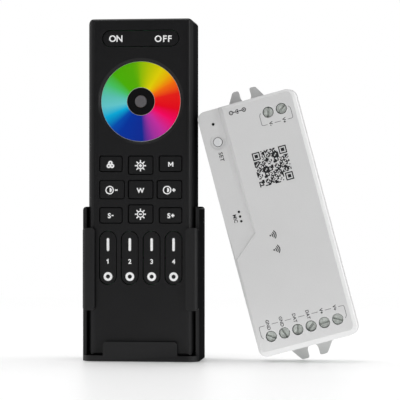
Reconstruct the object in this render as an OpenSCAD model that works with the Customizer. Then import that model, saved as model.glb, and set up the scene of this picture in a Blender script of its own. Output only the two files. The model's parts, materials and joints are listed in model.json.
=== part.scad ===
// Control set for a light strip: a remote in its wall holder, and the controller
// box that leans on the remote's side. Lengths are in millimetres. +Z is up, the
// faces look towards -Y, and the origin is the centre of the holder's foot.

/* [Remote body] */
// Width of the remote
remote_w = 39.8; // [38:0.1:44]
// Height of the remote
remote_h = 125.7; // [124:0.1:140]
// Corner radius of the remote's front outline
remote_corner_r = 2.4; // [1.8:0.1:3]
// Radius along the remote's long front edges
front_edge_r = 3; // [2:0.1:3.2]
// Radius along the remote's long back edges
back_edge_r = 3; // [2:0.1:3.2]
// Radius of the remote's end edges
end_edge_r = 1.2; // [0.6:0.1:1.6]
// Wall thickness of the remote's shells
shell_wall = 1.6; // [1.4:0.05:2]
// Depth of the line where the two shells meet
part_depth = 11; // [10:0.1:13]
// Width of the visible line between the shells
part_line = 0.3; // [0.2:0.05:0.5]
// Height of the lip inside the shells' joint
lip_h = 1.4; // [1:0.1:2]

/* [Remote keys] */
// Distance from the remote's top to the centre of the on and off key
on_off_drop = 7.4; // [7.2:0.1:8.2]
// Length of the on and off key
on_off_l = 28.5; // [24:0.1:29]
// Height of the on and off key
on_off_h = 5.75; // [5:0.05:6.4]
// Distance from the remote's top to the centre of the first row of keys
key_row_drop = 54.7; // [54:0.1:57]
// Distance between rows of keys
key_row_pitch = 9.1; // [8.9:0.05:9.6]
// Distance between columns of keys
key_col_pitch = 10.83; // [10.7:0.01:11.2]
// Width of a full key
key_w = 9.1; // [8:0.05:9.2]
// Height of a full key
key_h = 6.7; // [6:0.05:6.9]
// Width of a corner key
corner_key_w = 8.3; // [7:0.05:8.6]
// Height of a corner key
corner_key_h = 5.65; // [5:0.05:6]
// Corner radius of the keys
key_r = 0.7; // [0.4:0.05:1]
// Distance from the remote's top to the centre of the zone keys
zone_drop = 89.3; // [88.5:0.1:92]
// Distance between zone keys
zone_pitch = 8.24; // [8:0.01:8.4]
// Width of a zone key
zone_w = 6.1; // [5.5:0.05:6.3]
// Length of a zone key
zone_l = 19.7; // [16:0.1:21]
// How far the keys lie below the face
key_recess = 0.3; // [0.1:0.05:0.5]
// Gap round each key
key_gap = 0.3; // [0.2:0.05:0.4]
// How far a key can be pushed
key_travel = 0.6; // [0.4:0.05:0.8]
// Thickness of the flange that keeps a key in
key_flange_t = 0.8; // [0.6:0.05:1]
// How far a key's flange reaches past its hole
key_flange_w = 0.4; // [0.3:0.05:0.5]

/* [Colour wheel] */
// Distance from the remote's top to the wheel's centre
wheel_drop = 30.9; // [30:0.1:32]
// Outer radius of the coloured ring
wheel_r = 15; // [13.5:0.1:15.4]
// Radius of the hub in the ring
hub_r = 5.15; // [4:0.05:6]
// Radius of the lens in the hub
lens_r = 2.3; // [1.8:0.05:2.8]
// Thickness of the coloured ring
wheel_t = 0.8; // [0.6:0.05:1]
// How far the ring lies below the face
wheel_recess = 0.55; // [0.3:0.05:0.7]
// Width of the bevel round the ring
wheel_bevel = 1.2; // [0.8:0.05:1.3]

/* [Remote inside] */
// Diameter of an AAA cell
cell_d = 10.5; // [9.5:0.1:11]
// Length of an AAA cell
cell_l = 44.5; // [43:0.1:45.5]
// Thickness of the battery door
door_t = 1.4; // [1.2:0.05:1.8]
// Gap round the battery door
door_gap = 0.15; // [0.1:0.05:0.25]
// Distance from the remote's top to the battery bay
bay_drop = 9.5; // [8.5:0.1:11]
// Thickness of the bay's walls
bay_wall = 1; // [0.8:0.05:1.3]
// Thickness of the remote's circuit board
board_t = 1; // [0.8:0.05:1.2]
// Radius of the shell screws' shanks
screw_r = 0.9; // [0.8:0.05:1]
// Radius of the shell screws' heads
screw_head_r = 1.75; // [1.6:0.05:1.9]
// Height of the lower shell screws above the remote's bottom
lower_screw_rise = 4.4; // [4:0.1:24]

/* [Holder] */
// Height of the holder's back and sides
holder_h = 57.6; // [56:0.1:60]
// Wall thickness of the holder's sides
holder_wall = 1.3; // [1.2:0.05:2]
// Thickness of the holder's back
holder_back_t = 1.8; // [1.6:0.05:2.6]
// Thickness of the holder's foot
foot_t = 2.1; // [1.2:0.05:2.4]
// Gap between the remote and each side of the holder
side_clear = 0.7; // [0.5:0.05:1.6]
// Gap between the remote and the holder's back
back_clear = 0.4; // [0.3:0.05:0.8]
// Gap between the remote's face and the holder's flaps
front_clear = 0.5; // [0.3:0.05:0.9]
// Thickness of the flaps and the lip
flap_t = 1.4; // [1.2:0.05:2]
// Height of the flaps' lower edge
flap_low = 18.9; // [14:0.1:22]
// Height of the flaps' upper edge
flap_high = 49.7; // [46:0.1:52]
// How far the flaps reach in over the remote's face
flap_reach = 3.5; // [2.5:0.1:4.6]
// Outer radius of the flaps' bends
flap_bend_r = 2.1; // [1.6:0.1:3.6]
// How far the side walls stand back from the flaps' front
side_set_back = 2.6; // [2:0.1:4]
// Width of the lip
lip_w = 28; // [20:0.1:30]
// Height of the lip
lip_top = 7.3; // [5:0.1:9]
// Corner radius of the lip, the flaps and the sides
holder_corner_r = 1.3; // [0.8:0.05:2]
// Corner radius of the foot's front
foot_corner_r = 4; // [2:0.1:5]
// Radius of the wall screw holes
wall_hole_r = 1.75; // [1.5:0.05:2.2]
// Radius of the wall screw countersinks
wall_sink_r = 3.3; // [2.8:0.05:3.6]
// Distance between the wall screw holes
wall_hole_pitch = 30; // [24:0.1:34]
// Height of the lower wall screw hole
wall_hole_low = 16; // [14:0.1:18]

/* [Controller box] */
// Width of the box
box_w = 37.4; // [37.2:0.1:44]
// Length of the box without its forks
box_l = 94; // [90:0.1:110]
// Corner radius of the box
box_corner_r = 3; // [2:0.1:4]
// Width of the bevel round the face
bevel_w = 1.1; // [0.6:0.05:1.5]
// Width of the bevel at the output end
end_bevel_w = 1.9; // [1.2:0.05:2.4]
// Depth of the bevel round the face
bevel_d = 1.1; // [0.6:0.05:1.5]
// How far the cover's sides lean out down to the joint
cover_draft = 0.2; // [0:0.05:0.5]
// Depth of the cover
cover_d = 10; // [9:0.1:11]
// Thickness of the cover
cover_wall = 1.5; // [1.3:0.05:1.6]
// How far the base shows past the cover
base_step = 0.2; // [0.1:0.05:0.4]
// Thickness of the base
base_wall = 1.6; // [1.4:0.05:2]
// Lean of the box against the remote
box_tilt = 15; // [11:0.5:16]
// Gap between the box's corner and the remote's side
lean_gap = 0.95; // [0.2:0.05:1]
// Distance from the wall to the back of the box
box_stand_off = 4; // [0:0.1:5]

/* [Lower strip of the cover] */
// Width of the lower strip along the cover's left side
strip_w = 10.3; // [9:0.1:10.5]
// Length of the lower strip
strip_l = 48.6; // [46:0.1:54]
// Depth of the strip at the input end
strip_deep = 3.1; // [2.4:0.05:3.4]
// Depth of the strip at its other end
strip_shallow = 0.7; // [0.4:0.05:1.2]
// How far the strip's slanting end drops to the left
strip_drop = 7.8; // [4:0.1:10]
// Slope of the strip's edges
strip_slope = 58; // [45:1:62]
// Distance from the left side to the set button, the light and the microphone
strip_line = 5.2; // [4.8:0.05:5.6]
// Distance from the input end to the set button
button_drop = 12.3; // [12:0.1:16]
// Radius of the set button
button_r = 1.6; // [1.2:0.05:1.8]
// Radius of the dish round the set button
dish_r = 2.9; // [2.6:0.05:3.2]
// Depth of the dish round the set button
dish_d = 0.4; // [0.2:0.05:0.6]
// How far the set button can be pushed
button_travel = 0.4; // [0.25:0.05:0.6]
// Distance from the input end to the light
light_drop = 5.4; // [5:0.1:6.5]
// Radius of the light's hole
light_r = 0.55; // [0.45:0.05:0.7]
// Distance from the input end to the middle microphone hole
mic_drop = 41.2; // [38:0.1:44]
// How far the microphone stands in from the set button's line
mic_shift = 1; // [0:0.1:1.3]
// Distance between microphone holes
mic_pitch = 1.8; // [1.5:0.05:2.2]
// Radius of a microphone hole
mic_hole_r = 0.475; // [0.35:0.025:0.6]

/* [Screw terminals] */
// Distance between terminals
pitch = 5.08; // [5:0.01:5.2]
// Distance from the box's output end to the terminal screws
output_set = 7; // [6.9:0.1:8]
// Distance from the box's input end to the terminal screws
input_set = 6.6; // [6.5:0.1:8]
// Radius of the screw holes in the cover
port_r = 2.06; // [2.05:0.01:2.2]
// Radius of a terminal screw's head
head_r = 1.85; // [1.6:0.05:1.9]
// Height of a terminal screw's head
head_h = 2; // [1.6:0.05:2.1]
// How far the screw heads lie below the face
head_recess = 1.1; // [0.6:0.05:1.2]
// Radius of a terminal screw's thread
thread_r = 1.2; // [1:0.05:1.3]
// Width of a clamp cage
cage_w = 4; // [3.6:0.05:4.1]
// Depth of a clamp cage along the wire
cage_l = 4.2; // [3.6:0.05:4.6]
// Side wall of a clamp cage
cage_side = 0.75; // [0.6:0.05:0.85]
// Top wall of a clamp cage, which holds the thread
cage_top = 1.2; // [1:0.05:1.4]
// Floor of a clamp cage
cage_floor = 0.8; // [0.6:0.05:1]
// Opening for the wire when the clamp is slack
wire_h = 2.7; // [2.4:0.05:2.8]
// How far a clamp cage rises
cage_travel = 1.8; // [1.5:0.05:1.8]
// Thickness of the contact bar
bar_t = 0.8; // [0.6:0.05:0.9]

/* [Sockets and mounting forks] */
// Distance from the box's centre line to the power socket
jack_offset = 3.6; // [3.4:0.05:3.8]
// Width of the power socket
jack_w = 9; // [8.6:0.05:9.2]
// Height of the power socket
jack_h = 10.8; // [10.6:0.05:11.4]
// Length of the power socket
jack_l = 13; // [11:0.1:14.4]
// Radius of the power socket's bore
jack_bore_r = 3.1; // [2.8:0.05:3.3]
// Radius of the power socket's centre pin
jack_pin_r = 1.05; // [0.9:0.05:1.25]
// Length of the mounting forks
fork_l = 4.7; // [3.5:0.1:6]
// Thickness of the mounting forks
fork_t = 2; // [1.5:0.1:2.6]
// Width of the input end's fork where it leaves the base
fork_root_w = 14.4; // [12:0.1:16]
// Width of the input end's fork across its tips
fork_tip_w = 8.9; // [8:0.1:11]
// Width of the output end's fork where it leaves the base
low_fork_root_w = 16.6; // [14:0.1:18]
// Width of the output end's fork across its tips
low_fork_tip_w = 9.8; // [8:0.1:12]
// Width of the slot in a fork
fork_slot_w = 4.2; // [3.2:0.1:4.6]

/* [Hidden] */

// Steps on a full circle
$fn = 48;
// Steps on a full circle of the cover's corners
corner_steps = 32;
// Overrun of every cut past the surface that it leaves
over = 1;

// Depths inside the remote, from its face to its back
dome_gap = 0.1;
dome_h = 0.4;
board_clear = 0.15;
cell_clear = 0.2;
door_clear = 0.25;
board_front_d = shell_wall + key_flange_t + key_travel + dome_gap + dome_h;
board_back_d = board_front_d + board_t;
bay_front_d = board_back_d + board_clear;
bay_floor_d = bay_front_d + bay_wall;
cell_axis_d = bay_floor_d + cell_clear + cell_d / 2;
door_inner_d = bay_floor_d + cell_clear + cell_d + door_clear;
remote_t = door_inner_d + door_t;

// The holder is wrapped round the remote
holder_w = remote_w + 2 * (side_clear + holder_wall);
holder_d = flap_t + front_clear + remote_t + back_clear + holder_back_t;
wall_y = holder_d / 2;
holder_front_y = -holder_d / 2;
remote_front_y = holder_front_y + flap_t + front_clear;
remote_back_y = remote_front_y + remote_t;
remote_bottom = foot_t;
remote_top = foot_t + remote_h;
remote_mid = foot_t + remote_h / 2;

// Places on the remote's face
on_off_z = remote_top - on_off_drop;
wheel_z = remote_top - wheel_drop;
zone_z = remote_top - zone_drop;
key_row_z = [for (row = [0:2]) remote_top - key_row_drop - row * key_row_pitch];
// Corner keys are smaller and keep the keypad's outline
corner_shift_x = (key_w - corner_key_w) / 2;
corner_shift_z = (key_h - corner_key_h) / 2;

// Battery bay
cell_gap = 0.6;
cell_x = (cell_d + cell_gap) / 2;
channel_gap = 0.4;
boss_x = cell_x + cell_d / 2 + channel_gap + screw_head_r;
bay_half_w = boss_x + screw_head_r + channel_gap;
spring_room = 4.6;
plate_room = 1.6;
bay_l = cell_l + spring_room + plate_room;
bay_high = remote_top - bay_drop;
bay_low = bay_high - bay_l;
cell_low = bay_low + spring_room;
// The right-hand cell lies the other way round, with its spring at the top
bay_flip = bay_l - 2 * spring_room;
door_ledge = 1;
door_spread = 0.6;
door_inner_w = bay_half_w + door_ledge;
door_outer_w = door_inner_w - door_spread;
door_low = bay_low - door_ledge - bay_wall;
rail_wall = 1;
ledge_t = 1.2;
grip_count = 5;
grip_pitch = 1.8;
grip_w = 0.8;
grip_d = 0.4;
grip_share = 0.5;

// Screws and bosses between the remote's shells
boss_r = 2.1;
boss_hole_gap = 0.1;
screw_head_h = 1.2;
boss_clear = 0.5;
rocker_ear = 0.8;
rocker_ear_r = 0.5;
ear_gap = 0.1;
upper_boss_z = on_off_z - on_off_h / 2 - rocker_ear - boss_r - boss_clear;
middle_boss_z = key_row_z[0] + key_h / 2 + key_gap + key_flange_w + boss_r + boss_clear;
lower_boss_z = remote_bottom + lower_screw_rise;
boss_places = [for (side = [-1, 1], z = [upper_boss_z, middle_boss_z, lower_boss_z]) [side * boss_x, z]];
pillar_wall = 1;
chip_shares = [1, 0.7, 0.5];

// Colour wheel
wheel_fit = 0.1;
ledge_w = 1.6;
wheel_bore_r = wheel_r - ledge_w;
wheel_seat_d = wheel_recess + wheel_t;
wheel_boss_t = 1;
wheel_boss_w = 1.5;
sensor_t = 0.8;
sensor_gap = 0.3;
lens_rise = 0.15;

// Holder
window_margin = 1;
window_in = 1.2;
window_w = flap_reach + window_in;
flap_span = holder_wall + flap_reach;
mouth_half_w = holder_w / 2 - flap_span;
sink_h = 1.1;
side_edge_r = 0.6;

// Depths inside the controller box, from its face to its back
face_gap = 0.4;
stand_h = 1.1;
rboard_t = 1.6;
rboard_front_d = cover_wall + face_gap + jack_h;
rboard_back_d = rboard_front_d + rboard_t;
box_floor_d = rboard_back_d + stand_h;
box_t = box_floor_d + base_wall;
box_back_y = wall_y - box_stand_off;
box_front_y = box_back_y - box_t;
base_w = box_w + 2 * (cover_draft + base_step);
base_l = box_l + 2 * (cover_draft + base_step);
base_r = box_corner_r + cover_draft + base_step;
// The lowest fork tip stands on the ground and the top corner leans on the remote
box_x = remote_w / 2 + lean_gap + base_r
    + (base_w / 2 - base_r) * cos(box_tilt) + (base_l / 2 - base_r) * sin(box_tilt);
box_z = (base_l / 2 + fork_l) * cos(box_tilt) + low_fork_tip_w / 2 * sin(box_tilt);
inner_gap = 0.3;
inner_corner_r = 1;
seam_gap = 0.2;
snap_lip_t = 0.8;
snap_lip_h = 1.2;

// Places on the cover, from the box's centre
strip_edge_x = strip_w - box_w / 2;
strip_end_z = box_l / 2 - strip_l;
strip_x = strip_line - box_w / 2;
button_z = box_l / 2 - button_drop;
light_z = box_l / 2 - light_drop;
mic_z = box_l / 2 - mic_drop;
strip_ceiling_d = strip_deep + cover_wall;
output_z = output_set - box_l / 2;
input_z = box_l / 2 - input_set;
output_x = [for (i = [0:5]) (i - 5 / 2) * pitch];
input_x = [for (i = [4:5]) (i - 5 / 2) * pitch];

// Terminal blocks
slot_gap = 0.15;
block_end = 0.35;
block_back = 1.3;
block_front_gap = 0.2;
block_top_d = cover_wall + face_gap;
bar_gap = 0.3;
tip_gap = 0.05;
head_clear = 0.15;
head_top_d = head_recess;
head_low_d = head_recess + head_h;
cage_top_d = head_low_d + head_clear * 2 + cage_travel;
bar_d = cage_top_d + cage_top + bar_gap;
cage_floor_d = bar_d + bar_t + wire_h;
cage_end_d = cage_floor_d + cage_floor;
bar_w = 2.2;
entry_w = 3.2;
screw_slot_w = 0.6;
screw_slot_d = 0.8;
thread_gap = 0.05;
pin_w = 0.8;

sliver = 0.01;
base_edge_r = 1.5;
window_reach = cover_wall + snap_lip_t + over + 2 * inner_gap;
block_rear = cage_l / 2 + slot_gap + block_back;
slot_turn = 35;

// Small parts on the controller's board
button_gap = 0.2;
button_flange = 0.7;
button_flange_t = 0.8;
button_rise = 0.1;
button_stem_r = 1;
switch_w = 4.5;
switch_h = 3.5;
plunger_r = 1.6;
plunger_h = 1.4;
plunger_gap = 0.1;
light_flange = 0.6;
light_flange_t = 0.8;
light_fit = 0.05;
led_w = 2;
led_h = 1.2;
mic_r = 2.9;
mic_h = 2.2;
jack_bore_l = 9.5;
jack_wall = 1.2;
jack_axis_rise = 5.9;
jack_nose_r = 4;
jack_d = rboard_front_d - jack_axis_rise;
mic_rim = 0.5;
mic_x = strip_x + mic_shift;
radio_x = box_w / 6;
radio_z = box_l / 10;
cap_x = -box_w / 4;
cap_z = -box_l / 6;
radio_w = 15;
radio_l = 20;
radio_t = 0.8;
radio_pad = 0.8;
can_w = 12;
can_l = 12;
can_h = 2.2;
cap_r = 4;
cap_h = 8;
cap_gap = 1.2;
rboard_gap = 0.6;
stand_r = 2.2;
stand_x = box_w / 2 - base_wall - 2 * stand_r;
stand_z = box_l / 4;

// Battery springs
wire_r = 0.3;
spring_turns = 4;
spring_root_r = 3.4;
spring_tip_r = 2;
contact_t = 0.3;
contact_share = 0.8;
spring_gap = 0.2;
ring_steps = 14;
wire_sides = 6;
nub_r = 2.75;
nub_h = 1;

// Draws a flat shape, given in x and z, from one y to another
module along_y(low, high) {
    translate([0, high, 0]) rotate([90, 0, 0]) linear_extrude(high - low) children();
}

// Draws a flat shape, given in y and z, from one x to another
module along_x(low, high) {
    translate([low, 0, 0]) rotate([90, 0, 90]) linear_extrude(high - low) children();
}

// Draws a flat shape, given in x and y, from one z to another
module along_z(low, high) {
    translate([0, 0, low]) linear_extrude(high - low) children();
}

// A box between two corners
module span(low, high) {
    translate(low) cube(high - low);
}

module round_rect(w, h, r) {
    square([w - 2 * r, h], center = true);
    square([w, h - 2 * r], center = true);
    for (x = [-1, 1], y = [-1, 1]) translate([x * (w / 2 - r), y * (h / 2 - r)]) circle(r);
}

// A stadium that stands upright
module pill(w, h) {
    square([w, h - w], center = true);
    for (y = [-1, 1]) translate([0, y * (h - w) / 2]) circle(w / 2);
}

// A rectangle whose first y side and second y side have their own corner radii
module two_radius_rect(w, low, high, r_low, r_high) {
    r_most = max(r_low, r_high);
    translate([r_most - w / 2, low]) square([w - 2 * r_most, high - low]);
    translate([-w / 2, low + r_low]) square([w, high - low - r_low - r_high]);
    translate([r_low - w / 2, low]) square([w - 2 * r_low, r_low]);
    translate([r_high - w / 2, high - r_high]) square([w - 2 * r_high, r_high]);
    for (x = [-1, 1]) {
        translate([x * (w / 2 - r_low), low + r_low]) circle(r_low);
        translate([x * (w / 2 - r_high), high - r_high]) circle(r_high);
    }
}

// The remote's outer form, or its inside when inset by the wall
module remote_form(inset) {
    corner = max(remote_corner_r - inset, end_edge_r / 2);
    front = max(front_edge_r - inset, end_edge_r / 2);
    back = max(back_edge_r - inset, end_edge_r / 2);
    low = remote_front_y + inset;
    high = remote_back_y - inset;
    intersection() {
        along_y(low, high) translate([0, remote_mid])
            round_rect(remote_w - 2 * inset, remote_h - 2 * inset, corner);
        along_z(remote_bottom + inset, remote_top - inset)
            two_radius_rect(remote_w - 2 * inset, low, high, front, back);
        if (inset == 0) along_x(-remote_w / 2, remote_w / 2)
            translate([(low + high) / 2, remote_mid]) round_rect(remote_t, remote_h, end_edge_r);
    }
}

// Everything in the remote between two depths from its face
module remote_depths(low, high) {
    span([-remote_w, remote_front_y + low, remote_bottom - over],
         [remote_w, remote_front_y + high, remote_top + over]);
}

// A round bar along y at a place on the remote, between two depths
module remote_pin(place, r, low, high) {
    along_y(remote_front_y + low, remote_front_y + high) translate(place) circle(r);
}

// The outline of each key on the face, grown by a margin
module key_outline(row, col, grow) {
    corner = row != 1 && col != 1;
    w = corner ? corner_key_w : key_w;
    h = corner ? corner_key_h : key_h;
    x = (col - 1) * (key_col_pitch + (corner ? corner_shift_x : 0));
    z = key_row_z[row] + (corner ? (1 - row) * corner_shift_z : 0);
    translate([x, z]) round_rect(w + 2 * grow, h + 2 * grow, key_r + grow);
}

module on_off_outline(grow) {
    translate([0, on_off_z]) rotate(90) pill(on_off_h + 2 * grow, on_off_l + 2 * grow);
}

module zone_outline(i, grow) {
    translate([(i - 3 / 2) * zone_pitch, zone_z]) pill(zone_w + 2 * grow, zone_l + 2 * grow);
}

// The thin frame where the back shell's lip enters the front shell
module lip_frame(outer, inner, low, high) {
    along_y(remote_front_y + low, remote_front_y + high) translate([0, remote_mid]) difference() {
        round_rect(remote_w - 2 * outer, remote_h - 2 * outer, remote_corner_r - outer);
        round_rect(remote_w - 2 * inner, remote_h - 2 * inner, max(remote_corner_r - inner, end_edge_r / 2));
    }
}

module front_shell() color([0.11, 0.11, 0.11]) {
    difference() {
        union() {
            difference() {
                intersection() {
                    remote_form(0);
                    remote_depths(-over, part_depth - part_line / 2);
                }
                remote_form(shell_wall);
            }
            remote_pin([0, wheel_z], wheel_r + wheel_boss_w, shell_wall / 2, wheel_seat_d + wheel_boss_t);
            for (place = boss_places) remote_pin(place, boss_r, shell_wall / 2, bay_front_d);
        }
        // Half of the wall is cut away for the back shell's lip
        along_y(remote_front_y + part_depth - lip_h - part_line, remote_front_y + part_depth + over)
            translate([0, remote_mid]) round_rect(remote_w - shell_wall, remote_h - shell_wall,
                                                  remote_corner_r - shell_wall / 2);
        // Key holes
        along_y(remote_front_y - over, remote_front_y + shell_wall + over) {
            on_off_outline(key_gap);
            for (row = [0:2], col = [0:2]) key_outline(row, col, key_gap);
            for (i = [0:3]) zone_outline(i, key_gap);
        }
        // Dish, seat and bore of the colour wheel
        translate([0, remote_front_y, wheel_z]) rotate([-90, 0, 0]) {
            translate([0, 0, -over]) cylinder(wheel_seat_d + over, r = wheel_r + wheel_fit);
            translate([0, 0, -over]) cylinder(wheel_seat_d + wheel_boss_t + 2 * over, r = wheel_bore_r);
            cylinder(wheel_recess, r1 = wheel_r + wheel_bevel, r2 = wheel_r + wheel_fit);
        }
        for (place = boss_places)
            remote_pin(place, screw_r + boss_hole_gap, shell_wall, bay_front_d + over);
    }
}

// The battery door's flared edges, grown by a gap, out past the remote's back
module door_profile(gap, inner_d, outer) {
    flare = door_spread / door_t;
    y_in = remote_front_y + inner_d;
    y_out = remote_back_y + outer;
    w_in = door_inner_w + gap - (inner_d - door_inner_d) * flare;
    w_out = door_outer_w + gap - outer * flare;
    polygon([[-w_in, y_in], [w_in, y_in], [w_out, y_out], [-w_out, y_out]]);
}

// Pillar for a lower screw, kept clear of the front shell's walls
module lower_pillar(side) {
    inset = shell_wall + part_line;
    along_y(remote_front_y + bay_front_d, remote_front_y + remote_t - shell_wall / 2) intersection() {
        translate([side * boss_x, lower_boss_z]) circle(screw_head_r + boss_hole_gap + pillar_wall);
        translate([0, remote_mid])
            round_rect(remote_w - 2 * inset, remote_h - 2 * inset, end_edge_r);
    }
}

module back_shell() color([0.13, 0.13, 0.13]) {
    difference() {
        union() {
            difference() {
                intersection() {
                    remote_form(0);
                    remote_depths(part_depth + part_line / 2, remote_t + over);
                }
                remote_form(shell_wall);
            }
            lip_frame(shell_wall / 2 + part_line / 2, shell_wall,
                      part_depth - lip_h, part_depth + shell_wall);
            // Tub for the cells and the frame that the door slides in
            intersection() {
                remote_form(shell_wall / 2 + part_line);
                union() {
                    span([-bay_half_w - bay_wall, remote_front_y + bay_front_d, bay_low - bay_wall],
                         [bay_half_w + bay_wall, remote_back_y, bay_high + bay_wall]);
                    span([-door_inner_w - door_gap - rail_wall, remote_front_y + door_inner_d - ledge_t,
                          door_low - door_gap - rail_wall],
                         [door_inner_w + door_gap + rail_wall, remote_back_y, remote_top]);
                }
            }
            for (side = [-1, 1])
                lower_pillar(side);
        }
        along_z(door_low, remote_top + over) door_profile(door_gap, door_inner_d, over);
        span([-bay_half_w, remote_front_y + bay_floor_d, bay_low],
             [bay_half_w, remote_back_y + over, bay_high]);
        for (place = boss_places) {
            remote_pin(place, screw_r + boss_hole_gap, bay_front_d - over, bay_floor_d + over);
            remote_pin(place, screw_head_r + boss_hole_gap, bay_floor_d, place[1] == lower_boss_z
                ? remote_t + over : bay_floor_d + screw_head_h);
        }
    }
}

module battery_door() color([0.13, 0.13, 0.13]) {
    grip_l = 2 * door_outer_w * grip_share;
    difference() {
        intersection() {
            remote_form(0);
            along_z(door_low + door_gap, remote_top + over)
                door_profile(0, door_inner_d + door_gap, over);
        }
        for (i = [1:grip_count])
            span([-grip_l / 2, remote_back_y - grip_d, door_low + grip_pitch * (i + 1) - grip_w / 2],
                 [grip_l / 2, remote_back_y + over, door_low + grip_pitch * (i + 1) + grip_w / 2]);
    }
}

module colour_ring() color([0.9, 0.2, 0.3]) {
    along_y(remote_front_y + wheel_recess, remote_front_y + wheel_seat_d) translate([0, wheel_z])
        difference() {
            circle(wheel_r);
            circle(hub_r);
        }
}

module wheel_hub() color([0.06, 0.06, 0.06]) {
    along_y(remote_front_y + wheel_recess, remote_front_y + wheel_seat_d) translate([0, wheel_z])
        difference() {
            circle(hub_r - wheel_fit);
            circle(lens_r);
        }
}

module indicator_lens() color([0.47, 0.45, 0.45]) {
    remote_pin([0, wheel_z], lens_r - wheel_fit, wheel_recess - lens_rise, wheel_seat_d);
}

// A key's cap and the flange behind the face that keeps it in
module push_key(row, col) color([0.12, 0.12, 0.12]) {
    along_y(remote_front_y + key_recess, remote_front_y + shell_wall + key_flange_t)
        key_outline(row, col, 0);
    along_y(remote_front_y + shell_wall, remote_front_y + shell_wall + key_flange_t)
        key_outline(row, col, key_gap + key_flange_w);
}

// Rocking keys turn on two short round ears behind the face
module on_off_key() color([0.12, 0.12, 0.12]) {
    ear_y = remote_front_y + shell_wall + ear_gap + rocker_ear_r;
    along_y(remote_front_y + key_recess, remote_front_y + shell_wall + key_flange_t) on_off_outline(0);
    translate([0, ear_y, on_off_z - on_off_h / 2 - rocker_ear])
        cylinder(on_off_h + 2 * rocker_ear, r = rocker_ear_r);
}

module zone_key(i) color([0.12, 0.12, 0.12]) {
    ear_y = remote_front_y + shell_wall + ear_gap + rocker_ear_r;
    along_y(remote_front_y + key_recess, remote_front_y + shell_wall + key_flange_t) zone_outline(i, 0);
    translate([(i - 3 / 2) * zone_pitch - zone_w / 2 - rocker_ear, ear_y, zone_z]) rotate([0, 90, 0])
        cylinder(zone_w + 2 * rocker_ear, r = rocker_ear_r);
}

module remote_board() color([0.1, 0.35, 0.2]) {
    inset = shell_wall + board_clear * 2;
    difference() {
        along_y(remote_front_y + board_front_d, remote_front_y + board_back_d)
            translate([0, remote_mid])
            round_rect(remote_w - 2 * inset, remote_h - 2 * inset, end_edge_r);
        for (place = boss_places)
            remote_pin(place, boss_r + sensor_gap, board_front_d - over, board_back_d + over);
        // Notches in the lower edge for the lower screws
        for (side = [-1, 1])
            span([side * boss_x - boss_r - sensor_gap, remote_front_y + board_front_d - over, remote_bottom],
                 [side * boss_x + boss_r + sensor_gap, remote_front_y + board_back_d + over, lower_boss_z]);
    }
}

module touch_sensor() color([0.75, 0.6, 0.2]) {
    remote_pin([0, wheel_z], wheel_bore_r - sensor_gap, wheel_seat_d, wheel_seat_d + sensor_t);
    // Plug that carries the sensor's signals to the board
    span([-hub_r, remote_front_y + wheel_seat_d + sensor_t / 2, wheel_z - hub_r - lens_r],
         [hub_r, remote_front_y + board_front_d, wheel_z - hub_r]);
}

module key_domes() color([0.8, 0.8, 0.8]) {
    dome_r = corner_key_h / 3;
    low = board_front_d - dome_h;
    for (row = [0:2], col = [0:2])
        remote_pin([(col - 1) * key_col_pitch, key_row_z[row]], dome_r, low, board_front_d);
    for (side = [-1, 1]) {
        remote_pin([side * on_off_l / 3, on_off_z], dome_r, low, board_front_d);
        for (i = [0:3])
            remote_pin([(i - 3 / 2) * zone_pitch, zone_z + side * zone_l / 3], dome_r, low, board_front_d);
    }
}

// Radio chip, crystal and memory on the back of the remote's board
module board_chips() color([0.08, 0.08, 0.09]) {
    z = (lower_boss_z + bay_low) / 2;
    places = [[-1, 1], [1, 1], [-1, -1]];
    for (i = [0:2]) {
        half = cell_x * chip_shares[i] / 2;
        middle = places[i] * cell_x + [0, z];
        span([middle[0] - half, remote_front_y + board_back_d, middle[1] - half],
             [middle[0] + half, remote_front_y + board_back_d + board_t, middle[1] + half]);
    }
}

module batteries() color([0.3, 0.45, 0.6]) {
    for (side = [-1, 1])
        translate([side * cell_x, remote_front_y + cell_axis_d, cell_low + (side > 0 ? bay_flip : 0)])
            mirror([0, 0, side > 0 ? 1 : 0]) {
                cylinder(cell_l - nub_h, r = cell_d / 2);
                cylinder(cell_l, r = nub_r);
            }
}
// One ring of points round the spring wire, and the wire as a swept tube
function spring_radius(share) = spring_root_r + (spring_tip_r - spring_root_r) * share;
function spring_ring(share, rise) = [for (k = [0:wire_sides - 1])
    let (turn = 360 * spring_turns * share, side = 360 * k / wire_sides,
         r = spring_radius(share) + wire_r * cos(side))
    [r * cos(turn), r * sin(turn), wire_r + (rise - 2 * wire_r) * share + wire_r * sin(side)]];
module spring(rise) {
    rings = spring_turns * ring_steps;
    points = [for (i = [0:rings]) each spring_ring(i / rings, rise)];
    sides = [for (i = [0:rings - 1], k = [0:wire_sides - 1])
        let (a = i * wire_sides + k, b = i * wire_sides + (k + 1) % wire_sides)
        each [[a, b, b + wire_sides], [a, b + wire_sides, a + wire_sides]]];
    first = [for (k = [wire_sides - 1:-1:0]) k];
    last = [for (k = [0:wire_sides - 1]) rings * wire_sides + k];
    polyhedron(points, concat([first], sides, [last]));
}

module battery_contacts() color([0.8, 0.8, 0.82]) {
    half = cell_d * contact_share / 2;
    for (side = [-1, 1])
        translate([side * cell_x, remote_front_y + cell_axis_d, side < 0 ? bay_low : bay_high])
            mirror([0, 0, side > 0 ? 1 : 0]) {
                // Spring at the flat end of the cell, plate at the other
                span([-half, -half, 0], [half, half, contact_t]);
                translate([0, 0, contact_t / 2]) spring(spring_room - spring_gap - contact_t / 2);
                span([-half, -half, bay_l - contact_t], [half, half, bay_l]);
                translate([0, 0, bay_l - plate_room + spring_gap])
                    cylinder(plate_room - spring_gap, r = nub_r / 2);
            }
}

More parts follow.
